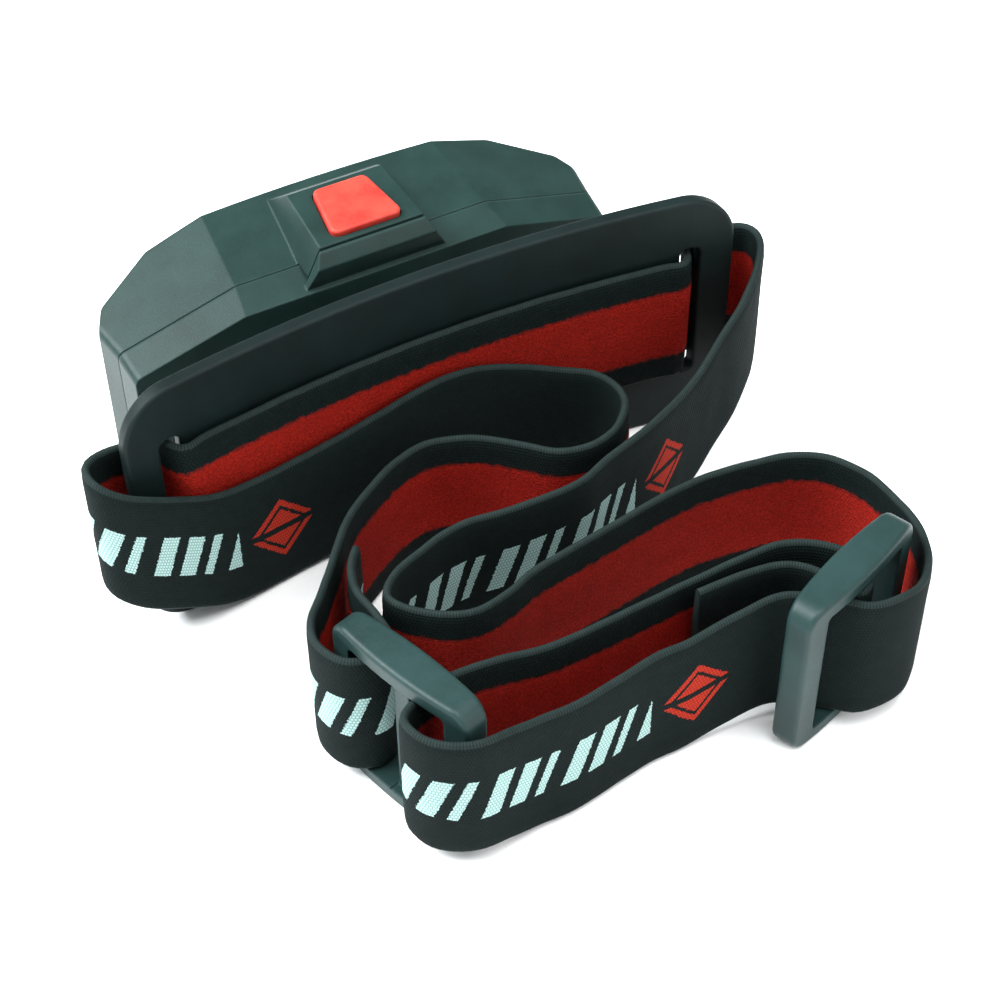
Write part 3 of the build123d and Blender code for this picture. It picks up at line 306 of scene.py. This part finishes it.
def cell_skin(name):
    """A battery's printed wrap: dark sleeve with one plain coloured band and bare metal ends."""
    t = Tree(name)
    spot = t.node("SeparateXYZ", Vector=t.place())
    along = t.math("ABSOLUTE", spot)
    band = t.math("MULTIPLY", t.math("GREATER_THAN", along, 12 * MM), t.math("LESS_THAN", along, 19 * MM))
    end = t.math("GREATER_THAN", along, 21.4 * MM)
    wrap = t.mix(band, rgb(34, 40, 44), rgb(176, 112, 40))
    ink = t.mix(t.math("MULTIPLY", t.grain(1.2, detail=3.0), 0.35), wrap, rgb(90, 94, 96))
    return t.finish(
        Base_Color=t.mix(end, ink, rgb(190, 188, 182)),
        Metallic=t.math("MULTIPLY", end, 0.95),
        Roughness=t.span(t.grain(0.5), 0.25, 0.42),
        Normal=t.bump(t.grain(0.25), 0.008, 0.3),
    )


# ---- webbing materials, all from the ribbon's own map: u along the strap and v across it, in metres
def strap_axes(t):
    """The along and across positions on the ribbon, in millimetres."""
    spot = t.nodes.new("ShaderNodeUVMap")
    spot.uv_map = "run"
    parts = t.nodes.new("ShaderNodeSeparateXYZ")
    t.put(parts, 0, spot.outputs[0])
    along = t.math("DIVIDE", parts.outputs[0], MM)
    across = t.math("DIVIDE", parts.outputs[1], MM)
    return along, across, spot.outputs[0]


def weave(t, along, across, rib=0.62, pick=0.5):
    """Height of the elastic weave: short picks in staggered ribs that run along the strap."""
    row = t.math("DIVIDE", across, rib)
    stagger = t.math("MULTIPLY", t.math("FLOOR", row), 0.5)
    step = t.math("ADD", t.math("DIVIDE", along, pick), stagger)
    pick_wave = t.math("ABSOLUTE", t.math("SINE", t.math("MULTIPLY", step, math.pi)))
    rib_wave = t.math("ABSOLUTE", t.math("SINE", t.math("MULTIPLY", row, math.pi)))
    return t.math("MULTIPLY", t.math("POWER", pick_wave, 0.6), t.math("POWER", rib_wave, 0.5))


def black_yarn(t, height, spot):
    """Colour of the black yarn, a little uneven, with a painted highlight on the raised weave and painted
    shade in its hollows.
    """
    patch = t.grain(2.5, detail=3.0, place=spot)
    fuzz = t.grain(0.3, detail=2.0, place=spot)
    low = rgb(7, 12, 12)
    high = rgb(26, 38, 37)
    # Painted highlight and shade: the weave's height lifts the yarn from low to high.
    share = t.math("MULTIPLY", height, t.span(patch, 0.35, 1.0))
    return t.mix(t.math("MULTIPLY", share, t.span(fuzz, 0.5, 1.0)), low, high)


def outer_webbing(name):
    """The outer face: black weave with woven slanted bars and a red split diamond at each mark."""
    t = Tree(name)
    along, across, spot = strap_axes(t)
    height = weave(t, along, across)
    yarn = black_yarn(t, height, spot)
    marked = t.nodes.new("ShaderNodeUVMap")
    marked.uv_map = "mark"
    offset = t.nodes.new("ShaderNodeSeparateXYZ")
    t.put(offset, 0, marked.outputs[0])
    from_mark = t.math("DIVIDE", offset.outputs[0], MM)
    jitter = t.math("MULTIPLY", t.math("SUBTRACT", t.grain(0.5, place=spot), 0.5), YARN_JITTER)
    rel = t.math("ADD", from_mark, jitter)
    reach = t.math("ABSOLUTE", t.math("ADD", across, t.math("MULTIPLY", jitter, 0.8)))
    lean = t.math("MULTIPLY", across, BAR_SLANT)
    slanted = t.math("DIVIDE", t.math("SUBTRACT", rel, lean), BAR_PITCH)
    share = t.math("FRACT", slanted)
    third = t.math("MODULO", t.math("ADD", t.math("FLOOR", slanted), 300), 3.0)
    broad = t.math("GREATER_THAN", third, 0.5)
    bars = t.math("LESS_THAN", share, t.span(broad, *BAR_SHARES))
    bars = t.math("MULTIPLY", bars, t.math("LESS_THAN", reach, BAR_REACH))
    bars = t.math("MULTIPLY", bars, t.math("GREATER_THAN", rel, BARS_FROM))
    bars = t.math("MULTIPLY", bars, t.math("LESS_THAN", rel, BARS_TO))
    spread = t.math("ADD", t.math("ABSOLUTE", rel), reach)
    diamond = t.math("LESS_THAN", spread, DIAMOND_HALF)
    ring = t.math("GREATER_THAN", spread, DIAMOND_RING[0])
    ring = t.math("MULTIPLY", ring, t.math("LESS_THAN", spread, DIAMOND_RING[1]))
    diamond = t.math("MULTIPLY", diamond, t.math("SUBTRACT", 1.0, ring))
    diamond = t.math("MULTIPLY", diamond, t.math("GREATER_THAN", reach, DIAMOND_SPLIT))
    # The print and the red diamond are also painted paler on the raised weave, a painted highlight.
    pale = t.mix(height, rgb(94, 122, 119), rgb(172, 202, 198))
    red = t.mix(height, rgb(104, 22, 15), rgb(176, 50, 34))
    colour = t.mix(diamond, t.mix(bars, yarn, pale), red)
    return t.finish(
        Base_Color=colour,
        Roughness=0.85,
        Specular_IOR_Level=0.07,
        Normal=t.bump(height, 0.1, 0.6),
    )


def inner_webbing(name):
    """The inner face: brushed red pile down the middle between two black woven borders."""
    t = Tree(name)
    along, across, spot = strap_axes(t)
    height = weave(t, along, across)
    yarn = black_yarn(t, height, spot)
    ragged = t.math("MULTIPLY", t.math("SUBTRACT", t.grain(1.4, detail=4.0, place=spot), 0.5), 1.6)
    edge = t.math("ADD", t.math("ABSOLUTE", across), ragged)
    lining = t.ramp(edge, LINING_HALF + 0.35, LINING_HALF - 0.35)
    tuft = t.grain(0.45, detail=4.0, place=spot, rough=0.7)
    cloud = t.grain(3.5, detail=3.0, place=spot)
    shade = t.math("MULTIPLY", t.ramp(tuft, 0.25, 0.75), t.span(cloud, 0.55, 1.0))
    red = t.mix(shade, rgb(74, 10, 7), rgb(182, 38, 26))
    relief = t.math("ADD", t.math("MULTIPLY", t.math("MULTIPLY", tuft, 2.2), lining), height)
    return t.finish(
        Base_Color=t.mix(lining, yarn, red),
        Roughness=0.9,
        Specular_IOR_Level=0.06,
        Normal=t.bump(relief, 0.16, 0.65),
    )


def selvedge(name):
    """The strap's rolled edge: a tight cord of yarn, painted paler along its ridges as a highlight."""
    t = Tree(name)
    along, across, spot = strap_axes(t)
    turn = t.math("ABSOLUTE", t.math("SINE", t.math("MULTIPLY", along, math.pi / 0.45)))
    patch = t.grain(1.8, detail=3.0, place=spot)
    share = t.math("MULTIPLY", turn, t.span(patch, 0.3, 1.0))
    return t.finish(
        # Painted highlight: the cord's ridges are lightened from the dark yarn colour.
        Base_Color=t.mix(share, rgb(10, 16, 16), rgb(36, 50, 48)),
        Roughness=0.75,
        Specular_IOR_Level=0.12,
        Normal=t.bump(turn, 0.05, 0.4),
    )


# ---- the ribbon
def smooth_run(stops, steps=8):
    """Places on a smooth curve through the stops."""
    places = []
    last = len(stops) - 1
    for i in range(last):
        around = [Vector(stops[min(max(i + k, 0), last)]) for k in (-1, 0, 1, 2)]
        for k in range(steps):
            s = k / steps
            blend = (
                -0.5 * s + s**2 - 0.5 * s**3,
                1 - 2.5 * s**2 + 1.5 * s**3,
                0.5 * s + 2 * s**2 - 1.5 * s**3,
                -0.5 * s**2 + 0.5 * s**3,
            )
            places.append(sum((w * p for w, p in zip(blend, around)), Vector((0, 0, 0))))
    places.append(Vector(stops[last]))
    return places


def even_run(places, spacing):
    """The same curve with evenly spaced places, each with its distance along the strap."""
    reach = [0.0]
    for a, b in zip(places, places[1:]):
        reach.append(reach[-1] + (b - a).length)
    count = round(reach[-1] / spacing)
    even = []
    k = 0
    for i in range(count + 1):
        goal = reach[-1] * i / count
        while k < len(places) - 2 and reach[k + 1] < goal:
            k += 1
        share = (goal - reach[k]) / (reach[k + 1] - reach[k])
        even.append((goal, places[k].lerp(places[k + 1], share)))
    return even


def section_profile():
    """The strap's cross section as a ring of (across, out, face): face 0 outer, 1 inner, 2 edge."""
    half = STRAP_WIDTH / 2
    thick = STRAP_THICKNESS / 2
    inside = [half * (k / FACE_STEPS) for k in range(1 - FACE_STEPS, FACE_STEPS)]
    inside[0] = -half + EDGE_ROUND
    inside[-1] = half - EDGE_ROUND
    ring = [(v, thick - EDGE_FALL * (abs(v) > half - EDGE_BAND), 0) for v in inside]
    rim = half - SELVEDGE_BULGE
    rise = thick * SELVEDGE_SHARE
    ring += [(rim, rise, 2), (half, 0.0, 2), (rim, -rise, 2)]
    for v in reversed(inside):
        pile = PILE_HEIGHT if abs(v) < LINING_HALF else 0.0
        ring.append((v, -thick + EDGE_FALL * (abs(v) > half - EDGE_BAND) - pile, 1))
    ring += [(-rim, -rise, 2), (-half, 0.0, 2), (-rim, rise, 2)]
    return ring


def make_strap():
    """The whole strap as one ribbon on edge. Its outer face is on the right of its run."""
    run = even_run(smooth_run(STRAP_STOPS), STATION)
    ring = section_profile()
    points = []
    maps = []
    for i, (distance, place) in enumerate(run):
        before = run[max(i - 1, 0)][1]
        after = run[min(i + 1, len(run) - 1)][1]
        ahead = Vector((after.x - before.x, after.y - before.y, 0)).normalized()
        out = Vector((ahead.y, -ahead.x, 0))
        wave = WAVE * noise.noise(Vector((distance / 9, 0, 0)))
        for across, depth, _ in ring:
            frill = FRILL * noise.noise(Vector((distance / 4, across / 9, 5)))
            lift = place.z + STRAP_WIDTH / 2 + across * (1 + WAVE_SHARE * wave)
            points.append((Vector((place.x, place.y, lift)) + out * (depth + frill)) * MM)
            maps.append((distance * MM, across * MM))
    size = len(ring)
    faces = []
    slots = []
    for i in range(len(run) - 1):
        for k in range(size):
            after = (k + 1) % size
            faces.append((i * size + k, i * size + after, (i + 1) * size + after, (i + 1) * size + k))
            pair = {ring[k][2], ring[after][2]}
            slots.append(pair.pop() if len(pair) == 1 else 2)
    last = (len(run) - 1) * size
    faces.append(tuple(reversed(range(size))))
    faces.append(tuple(last + k for k in range(size)))
    slots += [2, 2]
    mesh = bpy.data.meshes.new("strap")
    mesh.from_pydata(points, [], faces)
    marks = [min(run, key=lambda r: (r[1].x - x) ** 2 + (r[1].y - y) ** 2)[0] for x, y in EMBLEMS]
    marks.append(2 * marks[-1] - marks[-2])  # one repeat further on
    layer = mesh.uv_layers.new(name="run")
    mark_layer = mesh.uv_layers.new(name="mark")
    for loop in mesh.loops:
        distance, across = maps[loop.vertex_index]
        nearest = min(marks, key=lambda mark: abs(distance / MM - mark + MARK_LEAD))
        layer.data[loop.index].uv = (distance, across)
        mark_layer.data[loop.index].uv = (distance - nearest * MM, across)
    for polygon, slot in zip(mesh.polygons, slots):
        polygon.material_index = slot
        polygon.use_smooth = True
    strap = bpy.data.objects.new("strap_webbing", mesh)
    bpy.context.collection.objects.link(strap)
    return strap, run[-1][0]


strap, strap_length = make_strap()
for material in (
    outer_webbing("webbing_outer"),
    inner_webbing("webbing_inner"),
    selvedge("webbing_selvedge"),
):
    strap.data.materials.append(material)
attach(strap, "headband")
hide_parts(*[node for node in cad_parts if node.startswith("strap_")])

# ---- materials of the CAD nodes
case = moulded("case_plastic", rgb(18, 36, 33), rgb(27, 48, 45), rough=0.42, grain=0.3, depth=0.05)
plate = moulded(
    "plate_plastic", rgb(9, 18, 18), rgb(15, 27, 27), rough=0.5, grain=0.5, depth=0.02, shine=0.14
)
buckle = moulded("buckle_plastic", rgb(24, 42, 41), rgb(33, 54, 53), rough=0.4, grain=0.4, depth=0.02)
inside = moulded("tray_plastic", rgb(34, 38, 40), rgb(44, 48, 50), rough=0.5, grain=0.5, edge=0.2)
switch_skin = moulded("switch_plastic", rgb(24, 24, 26), rgb(34, 34, 36), rough=0.4, grain=0.3)
nylon = moulded("washer_nylon", rgb(196, 192, 180), rgb(214, 210, 200), rough=0.45, grain=0.4)
button_skin = silicone("button_silicone", rgb(168, 38, 29), rgb(188, 60, 47))
seal_skin = silicone("seal_silicone", rgb(24, 26, 27), rgb(36, 38, 39), sparkle=0.05)
shiny_white = silicone("reflector_gloss", rgb(150, 154, 152), rgb(172, 176, 174), sparkle=0.1)
steel = metal("pin_steel", rgb(176, 178, 180))
nickel = metal("contact_nickel", rgb(204, 200, 190), rough=0.24, brushed=False)
green_board = circuit("board_green", rgb(16, 66, 40), rgb(30, 92, 56))
white_board = circuit("board_white", rgb(150, 152, 148), rgb(170, 172, 168))
red_sleeve = silicone("lead_sleeve_red", rgb(170, 24, 20), rgb(196, 40, 32), sparkle=0.1)
black_sleeve = silicone("lead_sleeve_black", rgb(18, 18, 20), rgb(32, 32, 34), sparkle=0.1)

NODE_LOOKS = {
    "bracket_plate": plate,
    "tilt_pin": steel,
    "tilt_washers": nylon,
    "rear_shell": case,
    "front_shell": case,
    "case_pin": steel,
    "case_seal": seal_skin,
    "power_button": button_skin,
    "switch_body": switch_skin,
    "switch_plunger": switch_skin,
    "switch_board": green_board,
    "lens": clear_lens("lens_clear"),
    "lens_seal": seal_skin,
    "reflector": shiny_white,
    "led_board": white_board,
    "led_strip": led_gel("led_gel"),
    "driver_board": green_board,
    "battery_tray": inside,
    "cell_springs": nickel,
    "contact_plates": nickel,
    "tray_screws": steel,
    "lead_red": red_sleeve,
    "lead_black": black_sleeve,
    "buckle_a": buckle,
    "buckle_b": buckle,
}
cell_look = cell_skin("cell_wrap")
for node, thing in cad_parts.items():
    look = NODE_LOOKS.get(node, cell_look if node.startswith("cell_") else None)
    if look is not None:
        thing.data.materials.clear()
        thing.data.materials.append(look)


# ---- studio
FLOOR_RADIUS = 1.8
FLOOR_BEND = 1.0
FLOOR_DROP = 0.00005  # the floor lies this far below the lamp


def area_light(name, place, aim, size, power, colour=(1, 1, 1)):
    """A square soft light that looks at a point."""
    data = bpy.data.lights.new(name, "AREA")
    data.size = size
    data.energy = power
    data.color = colour
    lamp = bpy.data.objects.new(name, data)
    lamp.location = place
    lamp.rotation_euler = (Vector(aim) - Vector(place)).to_track_quat("-Z", "Y").to_euler()
    bpy.context.collection.objects.link(lamp)
    return lamp


def make_floor():
    """A wide round pale floor that curves up all the way round the lamp."""
    sides = 96
    flat_rings = 6
    bend_rings = 12
    rings = [(FLOOR_RADIUS * (k + 1) / flat_rings, 0.0) for k in range(flat_rings)]
    for k in range(1, bend_rings + 1):
        angle = k / bend_rings * math.pi / 2
        rise = FLOOR_BEND * (1 - math.cos(angle))
        rings.append((FLOOR_RADIUS + FLOOR_BEND * math.sin(angle), rise))
    points = [(0, 0, -FLOOR_DROP)]
    for radius, z in rings:
        for k in range(sides):
            turn = 2 * math.pi * k / sides
            points.append((radius * math.cos(turn), radius * math.sin(turn), z - FLOOR_DROP))
    faces = [(0, 1 + k, 1 + (k + 1) % sides) for k in range(sides)]
    for ring in range(len(rings) - 1):
        start = 1 + ring * sides
        for k in range(sides):
            after = (k + 1) % sides
            faces.append((start + k, start + sides + k, start + sides + after, start + after))
    mesh = bpy.data.meshes.new("floor")
    mesh.from_pydata(points, [], faces)
    for polygon in mesh.polygons:
        polygon.use_smooth = True
    floor = bpy.data.objects.new("floor", mesh)
    bpy.context.collection.objects.link(floor)
    t = Tree("floor_paper")
    cloud = t.grain(60.0, detail=3.0)
    floor.data.materials.append(
        t.finish(
            Base_Color=t.mix(cloud, (0.93, 0.94, 0.94, 1), (0.96, 0.965, 0.965, 1)),
            Roughness=0.9,
            Specular_IOR_Level=0.1,
        )
    )


make_floor()
area_light(
    "key", (-0.6, 0.35, 0.85), (0, -0.02, 0.02), size=0.75, power=36, colour=(0.93, 0.98, 1.0)
)
area_light("top", (0.1, -0.3, 1.1), (0, -0.02, 0.0), size=0.7, power=14)
area_light("fill", (0.5, -0.9, 0.5), (0, -0.03, 0.02), size=0.8, power=6)
world = bpy.data.worlds.new("studio")
world.use_nodes = True
sky = world.node_tree.nodes["Background"]
sky.inputs["Color"].default_value = (0.9, 0.97, 0.97, 1)
sky.inputs["Strength"].default_value = 0.35
bpy.context.scene.world = world
bpy.context.scene.view_settings.view_transform = "Standard"

# ---- camera, behind and above the lamp on its left
CAMERA_PLACE = (-0.114935, -0.230306, 0.24997)
CAMERA_LENS = 73.555
YAW = 0.508
PITCH = 0.777
ROLL = -0.009
ahead = Vector((math.sin(YAW) * math.cos(PITCH), math.cos(YAW) * math.cos(PITCH), -math.sin(PITCH)))
level = Vector((math.cos(YAW), -math.sin(YAW), 0))
above = level.cross(ahead)
side = level * math.cos(ROLL) + above * math.sin(ROLL)
top = above * math.cos(ROLL) - level * math.sin(ROLL)
camera_data = bpy.data.cameras.new("camera")
camera_data.lens = CAMERA_LENS
camera_data.sensor_width = 36.0
camera_data.clip_start = 0.01
camera = bpy.data.objects.new("camera", camera_data)
camera.matrix_world = Matrix.Translation(CAMERA_PLACE) @ Matrix(
    (side, top, -ahead)
).transposed().to_4x4()
bpy.context.collection.objects.link(camera)
bpy.context.scene.camera = camera
